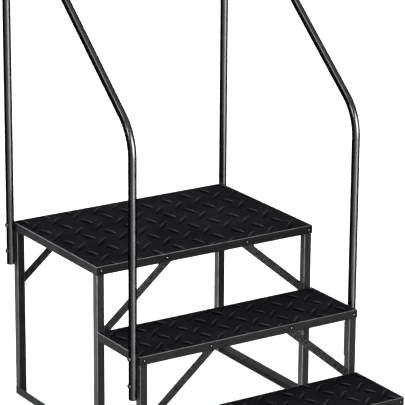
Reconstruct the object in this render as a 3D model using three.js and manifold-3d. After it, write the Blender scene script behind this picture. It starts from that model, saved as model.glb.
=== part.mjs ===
// Three-step mounting block with two handrails: a steel frame of square legs, angle-steel
// tread frames and ground rails, rubber treads, flat knee braces and bent tube handrails.
// Millimetres, +Z up. +X is the right-hand side for a rider who climbs towards +Y.
// While it is built, y = 0 is the front of the platform; the group is centred at the end.
import * as THREE from 'three';
import * as BufferGeometryUtils from 'three/addons/utils/BufferGeometryUtils.js';
import Module from 'manifold-3d';

const wasm = await Module();
wasm.setup();

// ---- driving dimensions -------------------------------------------------------------
const GAP = 0.3; // clearance between pieces that touch

const TREAD_TOP = { platform: 565.5, middle: 366, lower: 167 }; // height of each rim
const GOING = 242; // front of one tread to the front of the next
const FRONT = { platform: 0, middle: -GOING, lower: -2 * GOING }; // middle of each front skirt line
const PLATFORM_DEPTH = 508;
const TREAD_BACK_GAP = 4; // back of a lower tread to the front line of the one above

const SHEET = 1.5; // angle steel of the tread frames
const SKIRT_HEIGHT = 26;
const HALF_WIDTH = 381.5; // to the outer face of the skirt
const LEDGE_WIDTH = 22; // horizontal flange that carries the deck
const MAT_THICK = 3;
const MAT_DROP = 0.6; // mat surface below the rim
const DECK_THICK = 1.5;

const LEG = 25; // square tube
const LEG_WALL = 2;
const LEG_OUT = HALF_WIDTH - SHEET - GAP; // outer face of every leg
const SKIRT_FRONT = -1.5; // outer skirt face from the front line
const LEG_FRONT = SKIRT_FRONT + SHEET + GAP; // front face of a leg from the front line

const RAIL_HEIGHT = 26; // ground rails, unequal angle
const RAIL_WIDTH = 23.5;
const RAIL_THICK = 3;

const BRACE_ANGLE = THREE.MathUtils.degToRad(40);
const BRACE_WIDTH = 25;
const BRACE_THICK = 3;
const BRACE_DROP = { front: 203, rear: 196 }; // rim to the brace's centre line at the leg
const BRACE_SCREW_X = 141;
const BRACE_SCREW_DROP = 12;

const TUBE_R = 12.75; // handrail tube, to the corners of its flat sides
const TUBE_WALL = 1.6;
const TUBE_SIDES = 16;
const HANDRAIL_X = { left: 397, right: 394.4 }; // plane of each handrail's axis
const HANDRAIL_TOP = 1410; // axis of the top run
const HANDRAIL_BEND = 1022; // height of the left handrail's lower bend
const HANDRAIL_SLOPE = THREE.MathUtils.degToRad(40.3);
const BEND_R = 150; // both bends of the sloping run
const REAR_BEND_R = 95;
const BEND_STEPS = 7;
const RIGHT_DROP = 61; // bolts and lower bend of the right handrail are this much lower
const RIGHT_POSTS = { front: -195.4, rear: 522.6 }; // behind the legs, carried by side plates

const BOLT_R = 3; // handrail bolts, M6
const BOLT_HOLE_R = 3.3;
const BOLT_HEAD_R = 7.5;
const BOLT_HEAD = 4.5;
const UPPER_BOLT_DROP = 4.5; // below the rim
const LOWER_BOLT_DROP = 87;
const TUBE_END_DROP = 128;
const SPACER_R = 7;

const PLATE_THICK = 6; // side plates of the right handrail
const PLATE_TOP_DROP = 50;
const PLATE_HEIGHT = 116;
const PLATE_MARGIN = 10; // plate edge beyond the tube's axis
const PLATE_CORNER = 5;
const PLATE_BOLT_HEAD_R = 6; // low heads on the inner side of the plates
const PLATE_BOLT_HEAD = 3.5;

const SCREW_R = 2.2;
const SCREW_HOLE_R = 2.8;
const SCREW_HEAD_R = 5;
const SCREW_HEAD = 2.4;
const SCREW_LENGTH = 8.5;
const CORNER_SCREW_DROP = 12.8;
const TIE_DROP = 17; // tie bolts hold the back of a lower tread to the legs behind it
const TIE_HEAD_R = 4.2;
const TIE_COLLAR_R = 6;
const TIE_REACH = 7; // into the leg

// ---- materials ----------------------------------------------------------------------
const FINISH = {
  frame: { color: 0x2b2d30, roughness: 0.45, metalness: 0.5 },
  tube: { color: 0x1c1d1f, roughness: 0.3, metalness: 0.6 },
  rubber: { color: 0x17181b, roughness: 0.8, metalness: 0 },
  deck: { color: 0x222326, roughness: 0.6, metalness: 0.4 },
  fastener: { color: 0x3a3c40, roughness: 0.35, metalness: 0.8 },
};

const block = new THREE.Group();

function addPiece(name, geometry, finish, position = [0, 0, 0]) {
  const mesh = new THREE.Mesh(geometry, new THREE.MeshStandardMaterial(FINISH[finish]));
  mesh.name = name;
  mesh.position.set(...position);
  block.add(mesh);
}

// ---- solids -------------------------------------------------------------------------
function toSolid(geometry) {
  const bare = geometry.index ? geometry.toNonIndexed() : geometry.clone();
  bare.deleteAttribute('normal');
  bare.deleteAttribute('uv');
  const merged = BufferGeometryUtils.mergeVertices(bare, 1e-4);
  return new wasm.Manifold(new wasm.Mesh({
    numProp: 3,
    vertProperties: new Float32Array(merged.attributes.position.array),
    triVerts: new Uint32Array(merged.index.array),
  }));
}

function toGeometry(solid) {
  const mesh = solid.getMesh();
  const geometry = new THREE.BufferGeometry();
  geometry.setAttribute('position', new THREE.BufferAttribute(mesh.vertProperties, 3));
  geometry.setIndex(new THREE.BufferAttribute(mesh.triVerts, 1));
  return geometry;
}

// A solid box between two corners.
function boxSolid([x0, y0, z0], [x1, y1, z1]) {
  const geometry = new THREE.BoxGeometry(x1 - x0, y1 - y0, z1 - z0);
  geometry.translate((x0 + x1) / 2, (y0 + y1) / 2, (z0 + z1) / 2);
  return toSolid(geometry);
}

// A round bar of the given length whose middle is at centre, along x or y.
function barSolid(axis, radius, length, [x, y, z], sides) {
  const geometry = new THREE.CylinderGeometry(radius, radius, length, sides);
  if (axis === 'x') geometry.rotateZ(Math.PI / 2);
  geometry.translate(x, y, z);
  return toSolid(geometry);
}

const WALL_HOLE = 8; // length of a hole that passes one wall only
const screwHole = (x, y, z) => barSolid('y', SCREW_HOLE_R, WALL_HOLE, [x, y, z], 8);
const boltHole = (x, y, z, length = WALL_HOLE) => barSolid('x', BOLT_HOLE_R, length, [x, y, z], 12);

// A turned screw or bolt along Y: shank below the origin, domed head above it.
function fastenerGeometry(shankR, shankLength, headR, headHeight, sides, collar = null) {
  const profile = [[0, -shankLength], [shankR, -shankLength]];
  if (collar) {
    profile.push([shankR, -collar.end], [collar.radius, -collar.end]);
    profile.push([collar.radius, -collar.start], [shankR, -collar.start]);
  }
  const brim = headHeight / 4;
  profile.push([shankR, 0], [headR, 0], [headR, brim]);
  for (const angle of [Math.PI / 6, Math.PI / 3]) {
    profile.push([headR * Math.cos(angle), brim + (headHeight - brim) * Math.sin(angle)]);
  }
  profile.push([0, headHeight]);
  return new THREE.LatheGeometry(profile.map(([x, y]) => new THREE.Vector2(x, y)), sides);
}

// ---- treads -------------------------------------------------------------------------
const TREADS = [
  { name: 'platform', back: PLATFORM_DEPTH - SKIRT_FRONT, rearLegs: true },
  { name: 'middle', back: FRONT.platform - TREAD_BACK_GAP, rearLegs: false },
  { name: 'lower', back: FRONT.middle - TREAD_BACK_GAP, rearLegs: false },
];

const legFrontY = (tread) => FRONT[tread] + LEG_FRONT;
const REAR_LEG_Y = PLATFORM_DEPTH - LEG_FRONT - LEG;
const LEG_X = LEG_OUT - LEG / 2; // centre of every leg
const legCentreY = (y) => y + LEG / 2;
const SIDES = [['left', -1], ['right', 1]];

// Space around the top of each leg under a tread, kept free of ledge and deck.
function legPockets(tread, front, back, bottom, top) {
  const inner = LEG_OUT - LEG - GAP;
  const pockets = [];
  for (const [, side] of SIDES) {
    const xs = [side * inner, side * (HALF_WIDTH - SHEET)].sort((a, b) => a - b);
    pockets.push(boxSolid([xs[0], front + SHEET, bottom], [xs[1], front + SHEET + LEG + 2 * GAP, top]));
    if (tread.rearLegs) {
      const y0 = back - SHEET - LEG - 2 * GAP;
      pockets.push(boxSolid([xs[0], y0, bottom], [xs[1], back - SHEET, top]));
    }
  }
  return pockets;
}

function buildTread(tread) {
  const { name, back } = tread;
  const rim = TREAD_TOP[name];
  const front = FRONT[name] + SKIRT_FRONT;
  const insideX = HALF_WIDTH - SHEET;
  const ledgeTop = rim - MAT_DROP - MAT_THICK - DECK_THICK - 2 * GAP;
  const ledgeX = insideX - LEDGE_WIDTH;

  let frame = boxSolid([-HALF_WIDTH, front, rim - SKIRT_HEIGHT], [HALF_WIDTH, back, rim]);
  frame = frame.subtract(boxSolid(
    [-insideX, front + SHEET, ledgeTop], [insideX, back - SHEET, rim + 1]));
  frame = frame.subtract(boxSolid(
    [-insideX, front + SHEET, rim - SKIRT_HEIGHT - 1], [insideX, back - SHEET, ledgeTop - SHEET]));
  frame = frame.subtract(boxSolid(
    [-ledgeX, front + SHEET + LEDGE_WIDTH, rim - SKIRT_HEIGHT], [ledgeX, back - SHEET - LEDGE_WIDTH, rim]));
  for (const pocket of legPockets(tread, front, back, ledgeTop - SHEET - 1, rim)) {
    frame = frame.subtract(pocket);
  }
  for (const hole of treadHoles(tread, front, back)) frame = frame.subtract(hole);
  addPiece(`${name}_frame`, toGeometry(frame), 'frame');

  const deckBottom = ledgeTop + GAP;
  let deck = boxSolid([-insideX + GAP, front + SHEET + GAP, deckBottom],
    [insideX - GAP, back - SHEET - GAP, deckBottom + DECK_THICK]);
  for (const pocket of legPockets(tread, front, back, deckBottom - 1, rim)) {
    deck = deck.subtract(pocket);
  }
  addPiece(`${name}_deck_plate`, toGeometry(deck), 'deck');

  const matGeometry = new THREE.BoxGeometry(
    2 * (insideX - GAP), back - front - 2 * (SHEET + GAP), MAT_THICK);
  addPiece(`${name}_mat`, matGeometry, 'rubber', [0, (front + back) / 2, rim - MAT_DROP - MAT_THICK / 2]);
}

// Screw and bolt holes through the skirt of one tread.
function treadHoles({ name, rearLegs }, front, back) {
  const rim = TREAD_TOP[name];
  const holes = [];
  for (const [, side] of SIDES) {
    for (const y of rearLegs ? [front, back] : [front]) {
      holes.push(screwHole(side * LEG_X, y, rim - CORNER_SCREW_DROP));
      if (name !== 'lower') holes.push(screwHole(side * BRACE_SCREW_X, y, rim - BRACE_SCREW_DROP));
    }
    if (!rearLegs) holes.push(screwHole(side * LEG_X, back, rim - TIE_DROP));
  }
  const postY = { platform: legCentreY(REAR_LEG_Y), middle: legCentreY(legFrontY('middle')) }[name];
  if (postY !== undefined) holes.push(boltHole(-HALF_WIDTH, postY, rim - UPPER_BOLT_DROP, 4 * SHEET));
  return holes;
}

// ---- legs and ground rails ----------------------------------------------------------
const LEG_TOP_DROP = MAT_DROP + MAT_THICK + GAP;

const LEGS = [
  { name: 'leg_platform_rear', y: REAR_LEG_Y, top: TREAD_TOP.platform },
  { name: 'leg_platform_front', y: legFrontY('platform'), top: TREAD_TOP.platform, tie: 'middle' },
  { name: 'leg_middle_front', y: legFrontY('middle'), top: TREAD_TOP.middle, tie: 'lower' },
  { name: 'leg_lower_front', y: legFrontY('lower'), top: TREAD_TOP.lower },
];

function buildLeg({ name, y, top, tie }, sideName, side) {
  const outer = side * LEG_OUT;
  const inner = side * (LEG_OUT - LEG);
  const [x0, x1] = [Math.min(outer, inner), Math.max(outer, inner)];
  const z1 = top - LEG_TOP_DROP;
  const w = LEG_WALL;
  let leg = boxSolid([x0, y, RAIL_THICK + GAP], [x1, y + LEG, z1]);
  leg = leg.subtract(boxSolid([x0 + w, y + w, 0], [x1 - w, y + LEG - w, z1 + 1]));
  const notch = [side * (LEG_OUT - RAIL_THICK - GAP), side * (LEG_OUT + 5)].sort((a, b) => a - b);
  leg = leg.subtract(boxSolid([notch[0], y - 1, 0], [notch[1], y + LEG + 1, RAIL_HEIGHT + GAP]));

  const isRear = name === 'leg_platform_rear';
  const screwY = isRear ? y + LEG : y;
  leg = leg.subtract(screwHole(side * LEG_X, screwY, top - CORNER_SCREW_DROP));
  if (tie) leg = leg.subtract(screwHole(side * LEG_X, y, TREAD_TOP[tie] - TIE_DROP));
  const carriesHandrail = isRear || name === 'leg_middle_front';
  if (carriesHandrail && side < 0) {
    leg = leg.subtract(boltHole(outer, legCentreY(y), top - LOWER_BOLT_DROP));
  }
  addPiece(`${name}_${sideName}`, toGeometry(leg), 'frame');
}

function buildGroundRail(sideName, side) {
  const section = new THREE.Shape([
    new THREE.Vector2(0, 0), new THREE.Vector2(RAIL_WIDTH, 0),
    new THREE.Vector2(RAIL_WIDTH, RAIL_THICK), new THREE.Vector2(RAIL_THICK, RAIL_THICK),
    new THREE.Vector2(RAIL_THICK, RAIL_HEIGHT), new THREE.Vector2(0, RAIL_HEIGHT),
  ].map((point) => (side < 0 ? point : new THREE.Vector2(-point.x, point.y))));
  const start = legFrontY('lower');
  const end = REAR_LEG_Y + LEG;
  const geometry = new THREE.ExtrudeGeometry(section, { depth: end - start, bevelEnabled: false });
  geometry.rotateX(Math.PI / 2);
  addPiece(`ground_rail_${sideName}`, geometry, 'frame', [side * LEG_OUT, end, 0]);
}

// ---- knee braces --------------------------------------------------------------------
const BRACES = [
  { name: 'brace_platform_front', y: legFrontY('platform'), tread: 'platform', end: 'front' },
  { name: 'brace_platform_rear', y: REAR_LEG_Y + LEG - BRACE_THICK, tread: 'platform', end: 'rear' },
  { name: 'brace_middle', y: legFrontY('middle'), tread: 'middle', end: 'front' },
];

// A flat bar cut square to the leg at its foot and level under the ledge at its head.
function buildBrace({ name, y, tread, end }, sideName, side) {
  const top = TREAD_TOP[tread];
  const footX = LEG_OUT - LEG - GAP;
  const headZ = top - MAT_DROP - MAT_THICK - DECK_THICK - SHEET - 3 * GAP;
  const halfRise = BRACE_WIDTH / 2 / Math.cos(BRACE_ANGLE);
  const footZ = top - BRACE_DROP[end];
  const headXAt = (z) => footX - (headZ - z) / Math.tan(BRACE_ANGLE);
  const outline = [
    [footX, footZ - halfRise], [footX, footZ + halfRise],
    [headXAt(footZ + halfRise), headZ], [headXAt(footZ - halfRise), headZ],
  ].map(([x, z]) => new THREE.Vector2(side * x, z));
  const geometry = new THREE.ExtrudeGeometry(new THREE.Shape(outline), {
    depth: BRACE_THICK, bevelEnabled: false,
  });
  geometry.rotateX(Math.PI / 2);
  geometry.translate(0, y + BRACE_THICK, 0);
  const holeY = end === 'front' ? y : y + BRACE_THICK;
  const hole = screwHole(side * BRACE_SCREW_X, holeY, top - BRACE_SCREW_DROP);
  addPiece(`${name}_${sideName}`, toGeometry(toSolid(geometry).subtract(hole)), 'frame');
}

// ---- handrails ----------------------------------------------------------------------
// A path given by its own stations, so that straight runs take one step.
class StationPath extends THREE.Curve {
  constructor(stations) {
    super();
    this.stations = stations;
  }

  stationAt(u) {
    return this.stations[Math.round(u * (this.stations.length - 1))];
  }

  getPointAt(u) {
    return this.stationAt(u).point.clone();
  }

  getTangentAt(u) {
    return this.stationAt(u).tangent.clone();
  }
}

// Stations of a path through corner points, each corner rounded to its own radius.
function roundedStations(corners, radii) {
  const stations = [];
  const add = (point, tangent) => stations.push({ point, tangent });
  const first = corners[1].clone().sub(corners[0]).normalize();
  add(corners[0].clone(), first.clone());
  for (let i = 1; i < corners.length - 1; i++) {
    const into = corners[i].clone().sub(corners[i - 1]).normalize();
    const out = corners[i + 1].clone().sub(corners[i]).normalize();
    const turn = into.angleTo(out);
    const setback = radii[i - 1] * Math.tan(turn / 2);
    const start = corners[i].clone().addScaledVector(into, -setback);
    const inward = out.clone().addScaledVector(into, -out.dot(into)).normalize();
    const centre = start.clone().addScaledVector(inward, radii[i - 1]);
    for (let k = 0; k <= BEND_STEPS; k++) {
      const angle = (turn * k) / BEND_STEPS;
      const point = centre.clone()
        .addScaledVector(inward, -radii[i - 1] * Math.cos(angle))
        .addScaledVector(into, radii[i - 1] * Math.sin(angle));
      const tangent = into.clone().multiplyScalar(Math.cos(angle)).addScaledVector(inward, Math.sin(angle));
      add(point, tangent.normalize());
    }
  }
  const last = corners.at(-1).clone().sub(corners.at(-2)).normalize();
  add(corners.at(-1).clone(), last);
  return stations;
}

// A round section with a round hole.
function ringShape(outer, inner, sides) {
  const circle = (radius) => Array.from({ length: sides }, (_, i) => {
    const angle = ((i + 0.5) / sides) * 2 * Math.PI;
    return new THREE.Vector2(radius * Math.cos(angle), radius * Math.sin(angle));
  });
  const shape = new THREE.Shape(circle(outer));
  shape.holes.push(new THREE.Path(circle(inner)));
  return shape;
}

const HANDRAILS = {
  left: {
    side: -1, frontY: legCentreY(legFrontY('middle')), rearY: legCentreY(REAR_LEG_Y), drop: 0,
  },
  right: { side: 1, frontY: RIGHT_POSTS.front, rearY: RIGHT_POSTS.rear, drop: RIGHT_DROP },
};

const POSTS = [['front', 'middle'], ['rear', 'platform']];
const BOLT_LEVELS = [['upper', UPPER_BOLT_DROP], ['lower', LOWER_BOLT_DROP]];

function buildHandrail(name, { side, frontY, rearY, drop }) {
  const x = side * HANDRAIL_X[name];
  const bendZ = HANDRAIL_BEND - drop;
  const upperBendY = frontY + (HANDRAIL_TOP - bendZ) / Math.tan(HANDRAIL_SLOPE);
  const endZ = (tread) => TREAD_TOP[tread] - TUBE_END_DROP - drop;
  const corners = [
    new THREE.Vector3(x, frontY, endZ('middle')),
    new THREE.Vector3(x, frontY, bendZ),
    new THREE.Vector3(x, upperBendY, HANDRAIL_TOP),
    new THREE.Vector3(x, rearY, HANDRAIL_TOP),
    new THREE.Vector3(x, rearY, endZ('platform')),
  ];
  const stations = roundedStations(corners, [BEND_R, BEND_R, REAR_BEND_R]);
  const geometry = new THREE.ExtrudeGeometry(ringShape(TUBE_R, TUBE_R - TUBE_WALL, TUBE_SIDES), {
    steps: stations.length - 1,
    extrudePath: new StationPath(stations),
  });
  const posts = POSTS.map(([post, tread]) => (
    { post, rim: TREAD_TOP[tread], y: post === 'front' ? frontY : rearY }));
  let tube = toSolid(geometry);
  for (const { rim, y } of posts) {
    for (const [, boltDrop] of BOLT_LEVELS) tube = tube.subtract(postHole(name, y, rim - drop - boltDrop));
  }
  addPiece(`handrail_${name}`, toGeometry(tube), 'tube');
  for (const post of posts) (name === 'left' ? buildLeftFixings : buildRightFixings)(post);
}

// Holes through both walls of a left post, through the inner wall only of a right one.
function postHole(name, y, z) {
  if (name === 'left') return boltHole(-HANDRAIL_X.left, y, z, 3 * TUBE_R);
  return boltHole(HANDRAIL_X.right - TUBE_R, y, z);
}

// The upper bolt ends in the skirt and the lower one in the leg, each over a round spacer.
function buildLeftFixings({ post, rim, y }) {
  const headFace = HANDRAIL_X.left + TUBE_R + GAP;
  for (const [level, boltDrop] of BOLT_LEVELS) {
    const z = rim - boltDrop;
    const [wall, tip] = level === 'upper' ? [HALF_WIDTH, HALF_WIDTH - SHEET] : [LEG_OUT, LEG_X];
    const bolt = fastenerGeometry(BOLT_R, headFace - tip, BOLT_HEAD_R, BOLT_HEAD, 12);
    bolt.rotateZ(Math.PI / 2);
    addPiece(`handrail_bolt_left_${post}_${level}`, bolt, 'fastener', [-headFace, y, z]);
    const spacer = new THREE.ExtrudeGeometry(ringShape(SPACER_R, BOLT_HOLE_R, 12), {
      depth: HANDRAIL_X.left - TUBE_R - wall - 2 * GAP, bevelEnabled: false,
    });
    spacer.rotateY(Math.PI / 2);
    addPiece(`handrail_spacer_${post}_${level}`, spacer, 'frame',
      [-HANDRAIL_X.left + TUBE_R + GAP, y, z]);
  }
}

// A plate against the back of the leg, bolted to the post from the plate's inner side.
function buildRightFixings({ post, rim, y }) {
  const legBack = (post === 'front' ? legFrontY('middle') : REAR_LEG_Y) + LEG + GAP;
  const outer = HANDRAIL_X.right - TUBE_R - GAP;
  const inner = outer - PLATE_THICK;
  const bottom = rim - PLATE_TOP_DROP - PLATE_HEIGHT;
  const outline = chamferedRectangle(y + PLATE_MARGIN - legBack, PLATE_HEIGHT, PLATE_CORNER);
  const geometry = new THREE.ExtrudeGeometry(outline, { depth: PLATE_THICK, bevelEnabled: false });
  geometry.rotateX(Math.PI / 2);
  geometry.rotateZ(Math.PI / 2);
  geometry.translate(inner, legBack, bottom);
  let plate = toSolid(geometry);
  for (const [level, boltDrop] of BOLT_LEVELS) {
    const z = rim - RIGHT_DROP - boltDrop;
    plate = plate.subtract(boltHole((inner + outer) / 2, y, z, 2 * PLATE_THICK));
    const bolt = fastenerGeometry(
      BOLT_R, HANDRAIL_X.right - inner, PLATE_BOLT_HEAD_R, PLATE_BOLT_HEAD, 12);
    bolt.rotateZ(Math.PI / 2);
    addPiece(`handrail_bolt_right_${post}_${level}`, bolt, 'fastener', [inner - GAP, y, z]);
  }
  addPiece(`handrail_plate_${post}`, toGeometry(plate), 'frame');
}

// A rectangle from the origin with its four corners cut off.
function chamferedRectangle(width, height, cut) {
  return new THREE.Shape([
    [cut, 0], [width - cut, 0], [width, cut], [width, height - cut],
    [width - cut, height], [cut, height], [0, height - cut], [0, cut],
  ].map(([x, y]) => new THREE.Vector2(x, y)));
}

// ---- screws and tie bolts -----------------------------------------------------------
// face is -1 for a screw driven in from the front and +1 for one driven in from the back.
function buildScrew(name, x, y, z, face) {
  const geometry = fastenerGeometry(SCREW_R, SCREW_LENGTH, SCREW_HEAD_R, SCREW_HEAD, 8);
  if (face < 0) geometry.rotateX(Math.PI);
  addPiece(name, geometry, 'fastener', [x, y + face * GAP, z]);
}

function buildScrews() {
  const rows = [
    { name: 'platform_front', tread: 'platform', y: FRONT.platform + SKIRT_FRONT, face: -1, brace: true },
    { name: 'platform_rear', tread: 'platform', y: PLATFORM_DEPTH - SKIRT_FRONT, face: 1, brace: true },
    { name: 'middle', tread: 'middle', y: FRONT.middle + SKIRT_FRONT, face: -1, brace: true },
    { name: 'lower', tread: 'lower', y: FRONT.lower + SKIRT_FRONT, face: -1, brace: false },
  ];
  for (const { name, tread, y, face, brace } of rows) {
    const cornerZ = TREAD_TOP[tread] - CORNER_SCREW_DROP;
    const braceZ = TREAD_TOP[tread] - BRACE_SCREW_DROP;
    for (const [sideName, side] of SIDES) {
      buildScrew(`corner_screw_${name}_${sideName}`, side * LEG_X, y, cornerZ, face);
      if (brace) buildScrew(`brace_screw_${name}_${sideName}`, side * BRACE_SCREW_X, y, braceZ, face);
    }
  }
}

// The head sits inside the tread's back skirt, the collar keeps the tread off the leg.
function buildTieBolt(tread, back, legY, sideName, side) {
  const collarStart = SHEET + 2 * GAP;
  const collarEnd = legY - back + SHEET;
  const collar = { start: collarStart, end: collarEnd, radius: TIE_COLLAR_R };
  const geometry = fastenerGeometry(
    SCREW_R, collarEnd + TIE_REACH, TIE_HEAD_R, SCREW_HEAD, 8, collar);
  geometry.rotateX(Math.PI);
  addPiece(`tie_bolt_${tread}_${sideName}`, geometry, 'fastener',
    [side * LEG_X, back - SHEET - GAP, TREAD_TOP[tread] - TIE_DROP]);
}

// ---- assembly -----------------------------------------------------------------------
for (const tread of TREADS) buildTread(tread);
for (const [sideName, side] of SIDES) {
  for (const leg of LEGS) buildLeg(leg, sideName, side);
  buildGroundRail(sideName, side);
  for (const brace of BRACES) buildBrace(brace, sideName, side);
  buildTieBolt('middle', TREADS[1].back, legFrontY('platform'), sideName, side);
  buildTieBolt('lower', TREADS[2].back, legFrontY('middle'), sideName, side);
}
buildScrews();
for (const [name, handrail] of Object.entries(HANDRAILS)) buildHandrail(name, handrail);

// The origin is on the ground, under the middle of the whole block.
const middle = new THREE.Box3().setFromObject(block, true).getCenter(new THREE.Vector3());
block.position.set(-middle.x, -middle.y, 0);
block.updateMatrixWorld(true);

export default block;
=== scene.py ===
import math

import bmesh
import bpy
from mathutils import Matrix, Vector


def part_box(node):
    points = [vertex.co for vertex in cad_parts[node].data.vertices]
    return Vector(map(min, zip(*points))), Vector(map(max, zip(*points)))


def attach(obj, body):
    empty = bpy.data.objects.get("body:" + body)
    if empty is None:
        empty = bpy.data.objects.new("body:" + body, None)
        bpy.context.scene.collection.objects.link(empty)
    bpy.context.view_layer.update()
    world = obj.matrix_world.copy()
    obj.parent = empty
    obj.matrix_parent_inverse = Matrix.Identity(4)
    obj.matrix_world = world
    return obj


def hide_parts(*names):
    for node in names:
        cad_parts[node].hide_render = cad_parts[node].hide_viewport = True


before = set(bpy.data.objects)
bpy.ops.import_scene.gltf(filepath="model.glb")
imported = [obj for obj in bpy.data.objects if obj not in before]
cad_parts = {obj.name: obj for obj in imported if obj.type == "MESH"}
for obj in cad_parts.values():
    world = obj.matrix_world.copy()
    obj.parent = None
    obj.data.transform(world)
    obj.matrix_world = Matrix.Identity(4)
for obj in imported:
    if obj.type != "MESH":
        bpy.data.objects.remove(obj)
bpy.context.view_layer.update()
MM = 0.001

# ---- sizes, in metres, in the frame's own axes -------------------------------------------
SKIRT_FRONT = 1.5 * MM  # the platform's front skirt stands this far before its front line
FRONT_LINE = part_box("platform_frame")[0].y + SKIRT_FRONT
MIDDLE_X = (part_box("platform_frame")[0].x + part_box("platform_frame")[1].x) / 2
GAP = 0.3 * MM  # between pieces that touch
TREADS = "platform", "middle", "lower"
LEGS = "platform_rear", "platform_front", "middle_front", "lower_front"
BRACES = "platform_front", "platform_rear", "middle"
POSTS = "front", "rear"
SIDES = (-1, "left"), (1, "right")
RIM = {tread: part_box(f"{tread}_frame")[1].z for tread in TREADS}

EDGE_BEVEL = 0.5 * MM  # rounded edges of the angle steel
ROLL = 1.1 * MM  # of the treads' outer top edge
# share of the lighter edge on eased edges: rubbing and a painted highlight
EASED_WEAR_AND_HIGHLIGHT = 0.35
BAR_BEVEL = 0.6 * MM
SHEET_BEVEL = 0.3 * MM
TIE_BEVEL = 0.2 * MM
BRACE_WIDTH = 25 * MM
BRACE_SLOPE = math.radians(40)
LEG_CORNER = 2.0 * MM  # outside corner radius of the square tube
LEG_WALL = 2 * MM
LEG_BORE_CORNER = 0.8 * MM
RAIL_THICK = 3 * MM
RAIL_HEEL = 1.5 * MM  # outside corner radii
RAIL_FILLET = 3 * MM
RAIL_TOE = 1.2 * MM

TUBE_R = 12.5 * MM
TUBE_WALL = 1.6 * MM
HANDRAIL_BEND = {"left": 1.022, "right": 0.961}  # height of the lower bend's corner
HANDRAIL_SLOPE = math.radians(40.3)
BEND_R = 0.150
REAR_BEND_R = 0.095
BEND_STEPS = 30
TUBE_SIDES = 48
PLUG_FLANGE = 2.6 * MM
PLUG_ROUND = 1.4 * MM
PLUG_DEPTH = 14 * MM

BOLT_R = 3 * MM
BOLT_FLANGE = 0.22  # share of the head's height
BOLT_BRIM = 1.0 * MM  # from the head's edge to its dome
BOLT_EASE = 0.3 * MM
SOCKET_R = 1.9 * MM  # apothem
SOCKET_DEPTH = 1.6 * MM
SEAT_R = 7 * MM
SEAT_BORE = 3.4 * MM
HEAD_SEAT_BORE = 3.2 * MM
HEAD_SEAT_INSET = 0.4 * MM

SCREW_R = 2.2 * MM
SCREW_POINT = 1.2 * MM
SCREW_HEAD = 2.4 * MM  # its height
SCREW_FLANGE = 0.6 * MM
SCREW_BRIM = 0.7 * MM
SCREW_EASE = 0.2 * MM
PIN_R = 1.75 * MM
PIN_WELL = 0.5 * MM  # depth of the hollow round the pin
PIN_GAP = 0.05 * MM
PIN_EDGE = 0.2 * MM  # from the hollow's rim down to the pin's dome
PIN_DOME = 0.54 * MM
PLANE_WIDTH = 3 * MM  # wider faces are planes, narrower ones belong to roundings
TURNED_SIDES = 24  # a multiple of six, so that a hexagon fits its corners

BEAD_PITCH = 3.2 * MM
BEAD_SIDES = 10
BEAD_RINGS = 6  # to a ripple
BEAD_RIPPLE = 0.14
BEAD_TIP = 0.35  # share of the radius at the ends
BRACE_FOOT_LIFT = 1 * MM
BRACE_HEAD_DROP = 0.6 * MM
RAIL_END = 2 * MM  # a leg's side this near to the rail's end has no bead
BRACE_FOOT_BEAD_R = 1.8 * MM
BRACE_HEAD_BEAD_R = 2.8 * MM
BRACE_HEAD_BEAD = 9 * MM  # its length
RAIL_BEAD_R = 1.7 * MM  # across the foot of a leg
HEEL_BEAD_R = 1.5 * MM  # up the side of a leg's foot
PLATE_BEAD_R = 2.2 * MM
PLATE_BEAD_END = 7 * MM  # from a bead's end to the plate's


# ---- materials ---------------------------------------------------------------------------
class Nodes:
    """A node tree with short ways to add nodes to it."""

    def __init__(self, tree):
        self.tree = tree

    def add(self, kind, links=(), **settings):
        node = self.tree.nodes.new(kind)
        for key, value in settings.items():
            if key in node.inputs:
                node.inputs[key].default_value = value
            else:
                setattr(node, key, value)
        for socket, source in dict(links).items():
            self.tree.links.new(source, node.inputs[socket])
        return node

    def feed(self, socket, value):
        """Links a socket to another one, or sets it to a value."""
        if isinstance(value, bpy.types.NodeSocket):
            self.tree.links.new(value, socket)
        else:
            socket.default_value = value

    def spread(self, value, low, high, start=0.3, end=0.7):
        """The value between start and end, spread from low to high."""
        node = self.add("ShaderNodeMapRange", {"Value": value}, interpolation_type="SMOOTHSTEP")
        for socket, number in zip(("From Min", "From Max", "To Min", "To Max"), (start, end, low, high)):
            node.inputs[socket].default_value = number
        return node.outputs["Result"]

    def maths(self, operation, a, b):
        node = self.add("ShaderNodeMath", operation=operation)
        for socket, value in zip(node.inputs, (a, b)):
            self.feed(socket, value)
        return node.outputs[0]

    def dot(self, vector, direction):
        """How far a vector points in a direction."""
        node = self.add("ShaderNodeVectorMath", {0: vector}, operation="DOT_PRODUCT")
        node.inputs[1].default_value = direction
        return node.outputs["Value"]


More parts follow.
